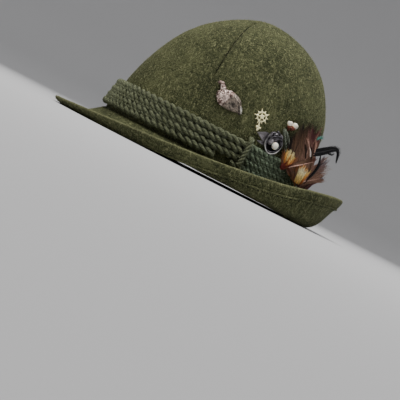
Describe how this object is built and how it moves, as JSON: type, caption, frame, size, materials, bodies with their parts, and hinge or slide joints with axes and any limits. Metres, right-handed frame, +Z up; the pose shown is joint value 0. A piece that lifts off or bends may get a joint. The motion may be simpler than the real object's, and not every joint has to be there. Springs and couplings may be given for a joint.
{
  "type": "tyrolean hat",
  "caption": "Olive felt hat with a tall round crown, a turned-up brim, a band of green cords, a bird pin, a flower pin, a teeth pin, a metal rosette and a feather tuft.",
  "frame": {"origin": "on the floor under the middle of the hat's box", "axes": "+Z up out of the crown, -X to the front of the hat, -Y to the wearer's left side, where the ornaments are"},
  "size_m": [0.2918, 0.2388, 0.1585],
  "materials": {
    "felt": "olive wool felt with a rough, short nap",
    "cord": "thick twisted wool cord, muted green",
    "pewter": "cast pewter, dull, with dark patina in the recesses",
    "gilt": "pale gilt metal",
    "dark_metal": "dark silvered metal with bright edges",
    "setting": "red-brown enamel",
    "ivory": "polished ivory white",
    "brown_feather": "brown and purplish barbs with pale quills",
    "gold_feather": "golden and red-brown barbs",
    "black_feather": "glossy blue-black"
  },
  "bodies": {
    "root": {"crown_front": "felt", "crown_back": "felt", "brim": "felt", "cord_row_1": "cord", "cord_row_2": "cord", "cord_row_3": "cord", "cord_row_4": "cord", "cord_knot": "cord", "cord_loop": "cord", "bird_pin": "pewter", "edelweiss_pin": "gilt", "teeth_setting": "setting", "tooth_small": "ivory", "tooth_large": "ivory", "rosette": "dark_metal", "rosette_bead": "ivory", "brown_feathers": "brown_feather", "gold_feathers": "gold_feather", "black_feathers": "black_feather"}
  },
  "joints": []
}
